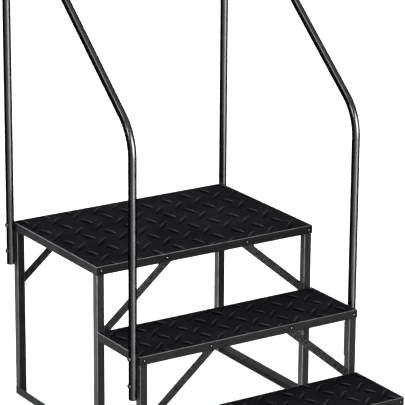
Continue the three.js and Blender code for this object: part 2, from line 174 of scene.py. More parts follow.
class Shader(Nodes):
    """A Principled material whose patterns run in object space, which is the frame's space."""

    def __init__(self, name):
        self.material = bpy.data.materials.new(name)
        self.material.use_nodes = True
        super().__init__(self.material.node_tree)
        self.surface = self.tree.nodes["Principled BSDF"]
        self.place = self.add("ShaderNodeTexCoord").outputs["Object"]

    def noise(self, scale, detail=3, roughness=0.5, stretch=None):
        """Noise with this many cells to the metre."""
        place = self.place
        if stretch:
            mapping = self.add("ShaderNodeMapping", {"Vector": place}, Scale=stretch)
            place = mapping.outputs["Vector"]
        texture = self.add("ShaderNodeTexNoise", {"Vector": place})
        texture.inputs["Scale"].default_value = scale
        texture.inputs["Detail"].default_value = detail
        texture.inputs["Roughness"].default_value = roughness
        return texture.outputs["Fac"]

    def mixed(self, factor, dark, light):
        node = self.add("ShaderNodeMix", data_type="RGBA")
        self.tree.links.new(factor, node.inputs["Factor"])
        for key, colour in (("A", dark), ("B", light)):
            socket = [s for s in node.inputs if s.name == key and s.type == "RGBA"][0]
            self.feed(socket, colour if isinstance(colour, bpy.types.NodeSocket) else (*colour, 1))
        return [s for s in node.outputs if s.type == "RGBA"][0]

    def facing(self, direction):
        """How far the surface faces a direction."""
        return self.dot(self.add("ShaderNodeNewGeometry").outputs["Normal"], direction)

    def wear_and_highlight(self):
        """1 along the rounded edges of a piece and 0 on its faces."""
        return self.add("ShaderNodeAttribute", attribute_name=WEAR_AND_HIGHLIGHT).outputs["Fac"]

    def bumped(self, height, depth, strength=1.0, under=None):
        links = {"Height": height}
        if under:
            links["Normal"] = under
        node = self.add("ShaderNodeBump", links, Strength=strength, Distance=depth)
        return node.outputs["Normal"]

    def finish(self, colour=None, roughness=None, normal=None, **fixed):
        for socket, source in (("Base Color", colour), ("Roughness", roughness), ("Normal", normal)):
            if source is not None:
                self.tree.links.new(source, self.surface.inputs[socket])
        for socket, value in fixed.items():
            self.surface.inputs[socket.replace("_", " ")].default_value = value
        return self.material


def powder_coat(
    name, dark, light, worn_and_highlit, rough=(0.36, 0.5), grain=1.0, specks=0.3, gloss=0.25, mottle=9, sideways_highlight=1.0
):
    """Black powder coat with orange peel and faint dust, lighter along its rounded edges from rubbing and as
    a painted highlight.

    Mottle is the number of shades to the metre. The last argument, under 1, dims those lighter edges where
    they face sideways, as painted shade.
    """
    s = Shader(name)
    colour = s.mixed(s.spread(s.noise(mottle, 5, 0.6), 0, 1), dark, light)
    speck = s.spread(s.noise(420, 2), 0, specks, 0.52, 0.7)
    colour = s.mixed(speck, colour, [2.4 * c for c in light])
    upward = s.spread(s.facing((0, 0, 1)), 0, 0.12, 0.6, 1)
    dust = s.maths("MULTIPLY", upward, s.spread(s.noise(60, 6, 0.7), 0.2, 1))
    colour = s.mixed(dust, colour, (0.075, 0.073, 0.07))
    # lighter rounded edges: partly rubbing, partly a painted highlight
    rubbed_and_highlit = s.maths("MULTIPLY", s.wear_and_highlight(), s.spread(s.noise(26, 6, 0.65), 0.5, 1))
    # under 1, the lighter edges that face sideways are dimmed: painted shade
    if sideways_highlight < 1:
        sideways = s.maths("ABSOLUTE", s.facing((1, 0, 0)), 0)
        rubbed_and_highlit = s.maths("MULTIPLY", rubbed_and_highlit, s.spread(sideways, 1, sideways_highlight, 0.25, 0.6))
    colour = s.mixed(rubbed_and_highlit, colour, worn_and_highlit)
    peel = s.bumped(s.noise(700, 2), 0.06 * MM * grain, 0.5)
    normal = s.bumped(s.noise(160, 3, 0.6), 0.12 * MM * grain, 0.35, peel)
    roughness = s.spread(s.noise(38, 5, 0.6), *rough)
    return s.finish(colour, roughness, normal, IOR=1.5, Specular_IOR_Level=gloss)


def tube_paint(name):
    """Gloss black on round tube, a metal with a dark tint, with scuffs drawn out along the posts."""
    s = Shader(name)
    colour = s.mixed(s.spread(s.noise(14, 5, 0.6), 0, 1), (0.125, 0.126, 0.128), (0.155, 0.156, 0.158))
    scuff = s.spread(s.noise(55, 8, 0.75, (1, 1, 0.25)), 0, 0.5, 0.6, 0.72)
    colour = s.mixed(scuff, colour, (0.18, 0.18, 0.178))
    roughness = s.spread(s.noise(45, 6, 0.65), 0.2, 0.27)
    normal = s.bumped(s.noise(520, 2), 0.02 * MM, 0.3)
    return s.finish(colour, roughness, normal, Metallic=1.0, Specular_Tint=(0.12, 0.12, 0.12, 1))


def rubber(name):
    """Moulded black rubber with a fine grain.

    One flank of every lug is lighter as a painted highlight and the opposite one darker as painted shade;
    both keep to the same sides from every view.
    """
    s = Shader(name)
    colour = s.mixed(s.spread(s.noise(11, 5, 0.6), 0, 1), (0.0072, 0.0072, 0.009), (0.0118, 0.0118, 0.0142))
    # painted highlight on the flank of each lug that faces that way
    flank = s.spread(s.facing(PAINTED_LIGHT_SIDE), 0, 1, *FLANK_SLOPES)
    painted_highlight = s.maths("MULTIPLY", flank, s.spread(s.noise(95, 5, 0.65), 0.45, 1))
    colour = s.mixed(painted_highlight, colour, (0.07, 0.07, 0.077))
    # painted shade on the opposite flank of each lug
    dark = s.spread(s.facing([-c for c in PAINTED_LIGHT_SIDE]), 0, 0.8, *FLANK_SLOPES)
    colour = s.mixed(dark, colour, (0.0016, 0.0016, 0.002))
    grain = s.bumped(s.noise(1500, 2), 0.06 * MM, 0.5)
    normal = s.bumped(s.noise(300, 4, 0.6), 0.1 * MM, 0.3, grain)
    roughness = s.spread(s.noise(80, 4), 0.45, 0.6)
    return s.finish(colour, roughness, normal, IOR=1.45, Specular_IOR_Level=0.012)


def fastener_steel(name, dark, light, rough, gloss=0.5):
    """Dark steel with a fine grain and lighter rubbed patches."""
    s = Shader(name)
    rub = s.spread(s.noise(350, 5, 0.7), 0, 1, 0.5, 0.72)
    colour = s.mixed(rub, dark, light)
    normal = s.bumped(s.noise(1900, 2), 0.03 * MM, 0.5)
    roughness = s.spread(s.noise(240, 4), *rough)
    return s.finish(colour, roughness, normal, Metallic=0.95, Specular_IOR_Level=gloss)


def bright_steel(name):
    """Zinc-plated steel of the screws' pins, slightly uneven."""
    s = Shader(name)
    colour = s.mixed(s.noise(700, 4), (0.78, 0.78, 0.8), (0.95, 0.95, 0.96))
    normal = s.bumped(s.noise(1700, 2), 0.02 * MM, 0.4)
    return s.finish(colour, s.spread(s.noise(500, 3), 0.2, 0.32), normal, Metallic=0.5)


def plug_plastic(name):
    """Black moulded plastic of the tube end plugs."""
    s = Shader(name)
    colour = s.mixed(s.noise(90, 4), (0.008, 0.008, 0.009), (0.014, 0.014, 0.015))
    normal = s.bumped(s.noise(900, 3), 0.05 * MM, 0.4)
    return s.finish(colour, s.spread(s.noise(60, 3), 0.45, 0.6), normal, IOR=1.46)


# vertex layer of rounded edges, lighter in the coat from rubbing and as a painted highlight
WEAR_AND_HIGHLIGHT = "wear_and_highlight"
PAINTED_LIGHT_SIDE = (0.6, 0.8, 0)  # the way the flank with the painted highlight on each lug faces
FLANK_SLOPES = (0.02, 0.1)
# The coats are one finish; their shades and gloss differ by place only as painted light and shade: darker on
# the rails and tread frames, duller on the platform frame and rear braces, darker and duller on the rear
# legs.
COAT = powder_coat(
    "frame_coat", (0.036, 0.0362, 0.037), (0.054, 0.0542, 0.055), worn_and_highlit=(0.4, 0.4, 0.402), gloss=0.14
)
# painted shade: a darker, duller copy of the frame coat for the rear legs
SHADED_COAT = powder_coat(
    "rear_leg_shaded_coat", (0.031, 0.0312, 0.032), (0.046, 0.0462, 0.047), worn_and_highlit=(0.36, 0.36, 0.362), gloss=0.01
)
# painted shade: the rails' coat darker than the legs'
RAIL_COAT = powder_coat(
    "rail_coat", (0.018, 0.0182, 0.019), (0.028, 0.0282, 0.029), worn_and_highlit=(0.1, 0.1, 0.1), gloss=0.2
)
# painted shade: the tread frames' coat darker than the legs'
RIM_SHADES = (0.015, 0.0151, 0.0155), (0.024, 0.0241, 0.0245)
# tread rims lighter from rubbing and as a painted highlight
RIM_WORN_AND_HIGHLIT = (0.42, 0.42, 0.423)
# painted shade: the platform frame's coat duller than the step frames'
RIM_COAT = {
    "platform": powder_coat("platform_frame_shaded_coat", *RIM_SHADES, worn_and_highlit=RIM_WORN_AND_HIGHLIT, gloss=0.075, sideways_highlight=0.5),
    "middle": powder_coat("step_frame_coat", *RIM_SHADES, worn_and_highlit=RIM_WORN_AND_HIGHLIT, gloss=0.18, sideways_highlight=0.55),
}
RIM_COAT["lower"] = RIM_COAT["middle"]
BRACE_SHADES = (0.006, 0.0062, 0.007), (0.085, 0.085, 0.086)
BRACE_SKIN = {"rough": (0.4, 0.56), "grain": 2.2, "specks": 0.6, "mottle": 80}
BRACE_COAT = powder_coat(
    "brace_coat", *BRACE_SHADES, worn_and_highlit=(0.15, 0.15, 0.15), gloss=0.16, **BRACE_SKIN
)
# painted shade: a duller copy of the brace coat for the rear braces
SHADED_BRACE_COAT = powder_coat(
    "rear_brace_shaded_coat", *BRACE_SHADES, worn_and_highlit=(0.12, 0.12, 0.12), gloss=0.07, **BRACE_SKIN
)
DECK_COAT = powder_coat(
    "deck_coat", (0.02, 0.02, 0.021), (0.03, 0.03, 0.031), worn_and_highlit=(0.06, 0.06, 0.06),
    rough=(0.5, 0.65), grain=1.6,
)
TUBE_PAINT = tube_paint("handrail_paint")
RUBBER = rubber("tread_rubber")
FASTENER = fastener_steel("fastener_black", (0.17, 0.17, 0.175), (0.3, 0.3, 0.31), (0.08, 0.16))
SCREW = fastener_steel("screw_black", (0.0015, 0.0015, 0.0016), (0.006, 0.006, 0.0062), (0.24, 0.4), 0.03)
BRIGHT = bright_steel("fastener_bright")
PLUG = plug_plastic("plug_plastic")


# ---- mesh helpers ------------------------------------------------------------------------
def make_piece(name, bm, material, replaces=(), sharp=35):
    """A bmesh in frame coordinates becomes a piece that rides on the block."""
    bmesh.ops.recalc_face_normals(bm, faces=bm.faces)
    rounded = [
        face.calc_area() < PLANE_WIDTH * max(edge.calc_length() for edge in face.edges)
        for face in bm.faces
    ]
    mesh = bpy.data.meshes.new(name)
    bm.to_mesh(mesh)
    bm.free()
    mesh.materials.append(material)
    mesh.set_sharp_from_angle(angle=math.radians(sharp))
    for face, smooth in zip(mesh.polygons, rounded):
        face.use_smooth = smooth
    piece = bpy.data.objects.new(name, mesh)
    bpy.context.scene.collection.objects.link(piece)
    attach(piece, "root")
    if replaces:
        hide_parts(*replaces)
    return piece


def skin(bm, rings, closed=False):
    """Quads between each ring of vertices and the next."""
    pairs = list(zip(rings, rings[1:]))
    if closed:
        pairs.append((rings[-1], rings[0]))
    for a, b in pairs:
        count = len(a)
        for i in range(count):
            bm.faces.new((a[i], a[(i + 1) % count], b[(i + 1) % count], b[i]))


def add_ring(bm, points):
    return [bm.verts.new(point) for point in points]


def edge_marked_bmesh():
    """A bmesh whose vertices carry the edges' mark, which the coat shows lighter from rubbing and as a
    painted highlight.
    """
    bm = bmesh.new()
    bm.verts.layers.float.new(WEAR_AND_HIGHLIGHT)
    return bm


def mark_wear_and_highlight(bm, verts, amount=1.0):
    layer = bm.verts.layers.float[WEAR_AND_HIGHLIGHT]
    for vert in verts:
        vert[layer] = amount


def round_edges(bm, edges, offset, segments, wear_and_highlight):
    """Bevels edges and marks the middle of each rounding, which the coat shows lighter from rubbing and as a
    painted highlight.
    """
    done = bmesh.ops.bevel(
        bm, geom=edges, offset=offset, segments=segments, profile=0.5, affect="EDGES", clamp_overlap=True
    )
    rounding = set(done["faces"])
    mark_wear_and_highlight(bm, [v for v in done["verts"] if all(f in rounding for f in v.link_faces)], wear_and_highlight)


def sharp_edges(bm):
    return [e for e in bm.edges if len(e.link_faces) == 2 and e.calc_face_angle() > math.radians(50)]


def bare_copy(node):
    """The CAD node's own shape without the edges between coplanar triangles."""
    bm = edge_marked_bmesh()
    bm.from_mesh(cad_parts[node].data)
    bmesh.ops.remove_doubles(bm, verts=bm.verts, dist=0.001 * MM)
    bmesh.ops.dissolve_limit(bm, angle_limit=math.radians(0.5), verts=bm.verts, edges=bm.edges)
    return bm


def rounded_copy(node, bevel, segments=3, wear_and_highlight=1.0):
    """The CAD node's own shape with its sharp edges rounded."""
    bm = bare_copy(node)
    round_edges(bm, sharp_edges(bm), bevel, segments, wear_and_highlight)
    return bm


def rounded_tread(node):
    """A tread frame whose outer top edge is rolled over and whose other edges are only eased."""
    low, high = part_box(node)
    bm = bare_copy(node)
    touch = 0.01 * MM

    def outside(vert):
        x, y = vert.co.x, vert.co.y
        return min(x - low.x, high.x - x, y - low.y, high.y - y) < touch

    def drop(vert):
        return high.z - vert.co.z

    top = [e for e in sharp_edges(bm) if all(outside(v) and drop(v) < touch for v in e.verts)]
    # the rolled top edge is fully lighter: rubbing and a painted highlight along the rim
    round_edges(bm, top, ROLL, 6, 1.0)
    rest = [e for e in sharp_edges(bm) if all(drop(v) > ROLL / 2 or not outside(v) for v in e.verts)]
    round_edges(bm, rest, EDGE_BEVEL, 3, EASED_WEAR_AND_HIGHLIGHT)
    return bm


def pointed(at, direction):
    """Matrix that takes local +Z to the direction and the origin to the point."""
    turn = Vector(direction).to_track_quat("Z", "Y").to_matrix().to_4x4()
    return Matrix.Translation(at) @ turn


def turned(bm, profile, place):
    """A solid turned round local Z. Each step is (radius, height), or (apothem, height, "hex")."""
    rings = []
    for radius, height, *hexagon in profile:
        points = []
        for k in range(TURNED_SIDES):
            angle = 2 * math.pi * k / TURNED_SIDES
            r = radius
            if hexagon:
                r /= math.cos((angle + math.pi / 6) % (math.pi / 3) - math.pi / 6)
            points.append(place @ Vector((r * math.cos(angle), r * math.sin(angle), height)))
        rings.append(add_ring(bm, points))
    skin(bm, rings)
    bm.faces.new(rings[0])
    bm.faces.new(rings[-1])


def dome(radius, base, height, steps=6, share=1.0):
    """Profile of a dome from its brim to a share of a quarter turn."""
    angles = [share * math.pi / 2 * k / steps for k in range(1, steps + 1)]
    return [(radius * math.cos(a), base + height * math.sin(a)) for a in angles]


# ---- treads ------------------------------------------------------------------------------
class Tread:
    """Diamond pattern of one tread: two lugs in a cell that repeats along two steps."""

    def __init__(self, along, across, slanted, upright):
        self.along, self.across = along, across  # the two steps of the pattern
        self.slanted, self.upright = slanted, upright  # (centre, angle, length, width) of each lug


PATTERN = {
    "platform": Tread(
        (79.2 * MM, 12.6 * MM), (-9.8 * MM, 122.1 * MM),
        ((12 * MM, -7 * MM), math.radians(43), 85 * MM, 16 * MM),
        ((0, 51 * MM), math.radians(98), 60 * MM, 24 * MM),
    ),
    "step": Tread(
        (81.0 * MM, 28.0 * MM), (-30.5 * MM, 80.2 * MM),
        ((6 * MM, -4 * MM), math.radians(43), 77 * MM, 14 * MM),
        ((-22 * MM, 33 * MM), math.radians(112), 46 * MM, 23 * MM),
    ),
}
SLAB_DROP = 1.0 * MM  # the sheet between the lugs lies lower than their crowns
LUG_HEIGHT = 1.8 * MM
LUG_SINK = 0.3 * MM
LUG_POINTS = 14  # along one side of a lug
LUG_TAPER = 1.25  # 1 is an ellipse in plan, more is pointed
LUG_STEPS = (1, 1, 0), (0.93, 0.72, 0.55), (0.86, 0.42, 0.9), (0.8, 0.16, 1)  # shares: length, width, height
MAT_BEVEL = 0.5 * MM


def add_lug(bm, centre, angle, length, width, floor_z):
    """A low almond-shaped ridge: a sunk foot, sloping sides and a narrow crown."""
    forward = Vector((math.cos(angle), math.sin(angle))) * length / 2
    sideways = Vector((-math.sin(angle), math.cos(angle))) * width / 2
    sections = [(1, 1, floor_z - LUG_SINK)]
    sections += [(along, across, floor_z + share * LUG_HEIGHT) for along, across, share in LUG_STEPS]
    rings = []
    for along, across, z in sections:
        points = []
        for k in range(2 * LUG_POINTS):
            turn = math.pi * k / LUG_POINTS
            half = math.copysign(abs(math.sin(turn)) ** LUG_TAPER, math.sin(turn))
            flat = centre + forward * (math.cos(turn) * along) + sideways * (half * across)
            points.append(Vector((flat.x, flat.y, z)))
        rings.append(add_ring(bm, points))
    skin(bm, rings)
    bm.faces.new(rings[0])
    bm.faces.new(rings[-1])


def clip(bm, low, high):
    """Cuts a bmesh off at the sides of a box and closes the cuts."""
    for axis, limit, sign in ((0, low.x, -1), (0, high.x, 1), (1, low.y, -1), (1, high.y, 1)):
        normal = Vector((0, 0, 0))
        normal[axis] = sign
        point = Vector((0, 0, 0))
        point[axis] = limit
        whole = bm.verts[:] + bm.edges[:] + bm.faces[:]
        cut = bmesh.ops.bisect_plane(
            bm, geom=whole, plane_co=point, plane_no=normal, clear_outer=True
        )
        edges = [g for g in cut["geom_cut"] if isinstance(g, bmesh.types.BMEdge)]
        bmesh.ops.edgenet_fill(bm, edges=edges)


def build_mat(tread, pattern):
    """A rubber slab with rows of lugs, cut off at the slab's edge as a mat cut from a roll is."""
    node = f"{tread}_mat"
    low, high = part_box(node)
    bm = bmesh.new()
    high = high - Vector((0, 0, SLAB_DROP))
    centre = (low + high) / 2
    origin = Vector((MIDDLE_X, FRONT_LINE))  # a cell starts in the middle of the platform's front
    reach = math.hypot(high.x - low.x, high.y - low.y)
    along, across = Vector(pattern.along), Vector(pattern.across)
    count = math.ceil(reach / min(along.length, across.length))
    for i in range(-count, count + 1):
        for j in range(-count, count + 1):
            cell = origin + along * i + across * j
            for offset, angle, length, width in (pattern.slanted, pattern.upright):
                spot = cell + Vector(offset)
                if abs(spot.x - centre.x) > (high.x - low.x + length) / 2:
                    continue
                if abs(spot.y - centre.y) > (high.y - low.y + length) / 2:
                    continue
                add_lug(bm, spot, angle, length, width, high.z)
    edge = Vector((MAT_BEVEL, MAT_BEVEL, 0))
    clip(bm, low + edge, high - edge)
    slab = bmesh.new()
    bmesh.ops.create_cube(slab, size=1)
    bmesh.ops.scale(slab, vec=high - low, verts=slab.verts)
    bmesh.ops.translate(slab, vec=centre, verts=slab.verts)
    bmesh.ops.bevel(slab, geom=slab.edges[:], offset=MAT_BEVEL, segments=3, profile=0.5, affect="EDGES")
    joined = bpy.data.meshes.new("slab")
    slab.to_mesh(joined)
    slab.free()
    bm.from_mesh(joined)
    bpy.data.meshes.remove(joined)
    make_piece(f"{tread}_rubber_tread", bm, RUBBER, [node], sharp=40)


# ---- legs, rails, braces -----------------------------------------------------------------
def rounded_square(low, high, radius, z, steps):
    """Points round a square with round corners, at height z."""
    points = []
    corners = ((high.x, high.y, 0), (low.x, high.y, 1), (low.x, low.y, 2), (high.x, low.y, 3))
    for x, y, quarter in corners:
        cx = x - radius if x == high.x else x + radius
        cy = y - radius if y == high.y else y + radius
        for k in range(steps + 1):
            angle = math.pi / 2 * (quarter + k / steps)
            points.append(Vector((cx + radius * math.cos(angle), cy + radius * math.sin(angle), z)))
    return points


def cut_box(piece, low, high):
    """Takes a box out of a piece."""
    bm = bmesh.new()
    bmesh.ops.create_cube(bm, size=1)
    bmesh.ops.scale(bm, vec=high - low, verts=bm.verts)
    bmesh.ops.translate(bm, vec=(low + high) / 2, verts=bm.verts)
    mesh = bpy.data.meshes.new("cutter")
    bm.to_mesh(mesh)
    bm.free()
    cutter = bpy.data.objects.new("cutter", mesh)
    bpy.context.scene.collection.objects.link(cutter)
    modifier = piece.modifiers.new("cut", "BOOLEAN")
    modifier.operation = "DIFFERENCE"
    modifier.solver = "EXACT"
    modifier.object = cutter
    bpy.context.view_layer.update()
    evaluated = piece.evaluated_get(bpy.context.evaluated_depsgraph_get())
    cut = bpy.data.meshes.new_from_object(evaluated)
    piece.modifiers.clear()
    piece.data = cut
    bpy.data.objects.remove(cutter)


def build_leg(node, side):
    low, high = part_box(node)
    wall = Vector((LEG_WALL, LEG_WALL, 0))
    steps = 6
    outer = [rounded_square(low, high, LEG_CORNER, z, steps) for z in (low.z, high.z)]
    inner = [rounded_square(low + wall, high - wall, LEG_BORE_CORNER, z, steps) for z in (high.z, low.z)]
    bm = edge_marked_bmesh()
    rings = [add_ring(bm, points) for points in outer + inner]
    skin(bm, rings, closed=True)
    # the corner roundings, lighter up the leg's length: rubbing and a painted highlight line
    for ring in rings[:2]:
        mark_wear_and_highlight(bm, [v for k, v in enumerate(ring) if 0 < k % (steps + 1) < steps])
    leg = make_piece(f"{node}_tube", bm, SHADED_COAT if "rear" in node else COAT, [node])
    rail_low, rail_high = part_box("ground_rail_left" if side < 0 else "ground_rail_right")
    past = 1 * MM  # the cutter reaches past the leg
    notch_low = Vector((low.x - past, low.y - past, -past))
    notch_high = Vector((rail_low.x + RAIL_THICK + GAP, high.y + past, rail_high.z + GAP))
    if side > 0:
        notch_low.x = rail_high.x - RAIL_THICK - GAP
        notch_high.x = high.x + past
    cut_box(leg, notch_low, notch_high)


def arc(cx, cy, radius, start, end, steps=5):
    """Points on an arc, angles in quarter turns."""
    angles = [math.pi / 2 * (start + (end - start) * k / steps) for k in range(steps + 1)]
    return [(cx + radius * math.cos(a), cy + radius * math.sin(a)) for a in angles]


def build_rail(side):
    node = "ground_rail_left" if side < 0 else "ground_rail_right"
    low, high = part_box(node)
    width, height = high.x - low.x, high.z - low.z
    section = arc(RAIL_HEEL, RAIL_HEEL, RAIL_HEEL, 2, 3)
    section += [(width, 0)]
    section += arc(width - RAIL_TOE, RAIL_THICK - RAIL_TOE, RAIL_TOE, 0, 1)
    section += arc(RAIL_THICK + RAIL_FILLET, RAIL_THICK + RAIL_FILLET, RAIL_FILLET, 3, 2)
    section += arc(RAIL_THICK - RAIL_TOE, height - RAIL_TOE, RAIL_TOE, 0, 1)
    section += arc(RAIL_HEEL, height - RAIL_HEEL, RAIL_HEEL, 1, 2)
    heel_x = low.x if side < 0 else high.x
    rings = []
    bm = bmesh.new()
    for y in (low.y, high.y):
        rings.append(add_ring(bm, [Vector((heel_x - side * x, y, z)) for x, z in section]))
    skin(bm, rings)
    for ring in rings:
        bm.faces.new(ring)
    make_piece(f"{node}_angle", bm, RAIL_COAT, [node])


def add_bead(bm, start, end, radius):
    """A weld bead: a thin round body with a ripple at each pitch and rounded ends."""
    line = end - start
    length = line.length
    forward = line.normalized()
    place = forward.to_track_quat("Z", "Y").to_matrix()
    steps = BEAD_RINGS * max(1, round(length / BEAD_PITCH))
    rings = []
    for k in range(steps + 1):
        s = length * k / steps
        ripple = 1 + BEAD_RIPPLE * abs(math.sin(math.pi * s / BEAD_PITCH))
        end_taper = min(1, BEAD_TIP + min(s, length - s) / (1.6 * radius))
        r = radius * ripple * end_taper
        rings.append(
            add_ring(bm, [
                start + forward * s + place @ Vector((r * math.cos(a), r * math.sin(a), 0))
                for a in (2 * math.pi * i / BEAD_SIDES for i in range(BEAD_SIDES))
            ])
        )
    skin(bm, rings)
    bm.faces.new(rings[0])
    bm.faces.new(rings[-1])


def weld_brace(bm, brace, side, name):
    """Beads up the side of the leg, on the inner side, and under the skirt along the upper edge."""
    low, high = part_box(f"brace_{brace}_{name}")
    foot_x, head_x = (low.x, high.x) if side < 0 else (high.x, low.x)
    foot_y = low.y if brace == "platform_rear" else high.y
    foot_height = BRACE_WIDTH / math.cos(BRACE_SLOPE)
    foot = Vector((foot_x, foot_y, low.z + BRACE_FOOT_LIFT))
    add_bead(bm, foot, Vector((foot_x, foot_y, low.z + foot_height)), BRACE_FOOT_BEAD_R)
    skirt_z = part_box(f"{brace.split('_')[0]}_frame")[0].z
    head_width = BRACE_WIDTH / math.sin(BRACE_SLOPE)
    corner_x = head_x + side * (head_width + (high.z - skirt_z) / math.tan(BRACE_SLOPE))
    corner = Vector((corner_x, (low.y + high.y) / 2, skirt_z - BRACE_HEAD_DROP))
    down = Vector((side * math.cos(BRACE_SLOPE), 0, -math.sin(BRACE_SLOPE)))
    add_bead(bm, corner, corner + down * BRACE_HEAD_BEAD, BRACE_HEAD_BEAD_R)


def weld_foot(bm, leg, side, name):
    """Beads along the rail's two flanges at each side of the leg, but not at the rail's ends."""
    low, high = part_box(f"leg_{leg}_{name}")
    rail_low, rail_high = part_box(f"ground_rail_{name}")
    heel_x = rail_low.x + RAIL_THICK if side < 0 else rail_high.x - RAIL_THICK
    toe_x = rail_high.x if side < 0 else rail_low.x
    for y in (low.y, high.y):
        if min(abs(y - rail_low.y), abs(y - rail_high.y)) < RAIL_END:
            continue
        heel = Vector((heel_x, y, RAIL_THICK))
        add_bead(bm, heel, Vector((toe_x, y, RAIL_THICK)), RAIL_BEAD_R)
        add_bead(bm, heel, Vector((heel_x, y, rail_high.z)), HEEL_BEAD_R)


def weld_plate(bm, post):
    """Beads up the plate's front edge, at its inner and its outer face."""
    low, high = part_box(f"handrail_plate_{post}")
    for x, radius in ((low.x, PLATE_BEAD_R), (high.x, PLATE_BEAD_R / 2)):
        start = Vector((x, low.y, low.z + PLATE_BEAD_END))
        add_bead(bm, start, Vector((x, low.y, high.z - PLATE_BEAD_END)), radius)


def build_welds():
    """Beads at both ends of each brace, along each leg's foot and behind each handrail plate."""
    braces = bmesh.new()
    for brace in BRACES:
        for side, name in SIDES:
            weld_brace(braces, brace, side, name)
    make_piece("brace_welds", braces, COAT, sharp=60)
    feet = bmesh.new()
    for leg in LEGS:
        for side, name in SIDES:
            weld_foot(feet, leg, side, name)
    make_piece("leg_foot_welds", feet, COAT, sharp=60)
    plates = bmesh.new()
    for post in POSTS:
        weld_plate(plates, post)
    make_piece("handrail_plate_welds", plates, COAT, sharp=60)


# ---- handrails ---------------------------------------------------------------------------
def rounded_path(corners, radii):
    """(point, tangent) along a line through the corners, each turned at its own radius."""
    path = [(corners[0], (corners[1] - corners[0]).normalized())]
    for before, corner, after, radius in zip(corners, corners[1:], corners[2:], radii):
        into = (corner - before).normalized()
        out = (after - corner).normalized()
        turn = into.angle(out)
        inward = (out - into * out.dot(into)).normalized()
        start = corner - into * radius * math.tan(turn / 2)
        centre = start + inward * radius
        for k in range(BEND_STEPS + 1):
            angle = turn * k / BEND_STEPS
            point = centre - inward * radius * math.cos(angle) + into * radius * math.sin(angle)
            path.append((point, into * math.cos(angle) + inward * math.sin(angle)))
    path.append((corners[-1], (corners[-1] - corners[-2]).normalized()))
    return path


def post_places(name):
    """Axis of each post and height of its lower end, from the bolts and the tube."""
    low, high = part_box(f"handrail_{name}")
    x = (low.x + high.x) / 2
    places = {}
    for post, tread in zip(POSTS, ("middle", "platform")):
        bolt_low, bolt_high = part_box(f"handrail_bolt_{name}_{post}_lower")
        places[post] = Vector((x, (bolt_low.y + bolt_high.y) / 2, low.z + RIM[tread] - RIM["middle"]))
    return places


def build_plugs(node, ends):
    """Plastic plugs in the tube's lower ends, each with a round-edged flange under the tube."""
    inside = TUBE_R - TUBE_WALL
    profile = [(inside, PLUG_DEPTH), (inside, 0), (TUBE_R - 0.15 * MM, 0)]
    profile += [
        (TUBE_R - PLUG_ROUND + x, -PLUG_FLANGE + PLUG_ROUND + y)
        for x, y in arc(0, 0, PLUG_ROUND, 0, -1, 4)
    ]
    profile += [(TUBE_R * 0.3, -PLUG_FLANGE - 0.25 * MM)]
    plugs = bmesh.new()
    for post in POSTS:
        turned(plugs, profile, Matrix.Translation(ends[post]))
    make_piece(f"{node}_end_plugs", plugs, PLUG)


def build_handrail(name):
    node = f"handrail_{name}"
    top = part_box(node)[1].z - TUBE_R
    ends = post_places(name)
    front, rear = ends["front"], ends["rear"]
    bend = HANDRAIL_BEND[name]
    corners = [
        front,
        Vector((front.x, front.y, bend)),
        Vector((front.x, front.y + (top - bend) / math.tan(HANDRAIL_SLOPE), top)),
        Vector((front.x, rear.y, top)),
        rear,
    ]
    path = rounded_path(corners, [BEND_R, BEND_R, REAR_BEND_R])
    side = Vector((1, 0, 0))
    angles = [2 * math.pi * k / TUBE_SIDES for k in range(TUBE_SIDES)]
    bm = bmesh.new()
    walls = []
    for radius in (TUBE_R, TUBE_R - TUBE_WALL):
        rings = []
        for point, tangent in path:
            up = tangent.cross(side).normalized()
            spokes = [side * math.cos(a) + up * math.sin(a) for a in angles]
            rings.append(add_ring(bm, [point + spoke * radius for spoke in spokes]))
        skin(bm, rings)
        walls.append(rings)
    for end in (0, -1):
        skin(bm, [walls[0][end], walls[1][end]])
    make_piece(f"{node}_tube", bm, TUBE_PAINT, [node])
    build_plugs(node, ends)


# ---- fasteners ---------------------------------------------------------------------------
def saddle(bm, x_flat, side, centre, axis_x, radius, bore):
    """A ring between a flat face and the round tube: its inner end follows the tube."""
    rings = []
    for r, on_tube in ((bore, True), (bore, False), (radius, False), (radius, True)):
        points = []
        for k in range(TURNED_SIDES):
            angle = 2 * math.pi * k / TURNED_SIDES
            y, z = r * math.cos(angle), r * math.sin(angle)
            x = axis_x + side * math.sqrt(TUBE_R**2 - y**2) if on_tube else x_flat
            points.append(Vector((x, centre.y + y, centre.z + z)))
        rings.append(add_ring(bm, points))
    skin(bm, rings, closed=True)


def domed_bolt(bm, place, shank, head_r, head_height):
    """A button-head bolt with its head's underside at the origin and a hexagon socket."""
    flange = BOLT_FLANGE * head_height
    dome_r = head_r - BOLT_BRIM
    profile = [(BOLT_R - 0.5 * MM, -shank), (BOLT_R, -shank + 0.6 * MM), (BOLT_R, 0)]
    profile += [(head_r - BOLT_EASE, 0), (head_r, BOLT_EASE)]
    profile += [(head_r, flange - BOLT_EASE), (head_r - BOLT_EASE, flange), (dome_r, flange)]
    profile += dome(dome_r, flange, head_height - flange, 7, 0.8)
    top = profile[-1][1]
    floor = top - SOCKET_DEPTH
    profile += [(SOCKET_R, top, "hex"), (SOCKET_R, floor, "hex"), (SOCKET_R * 0.3, floor - 0.3 * MM)]
    turned(bm, profile, place)


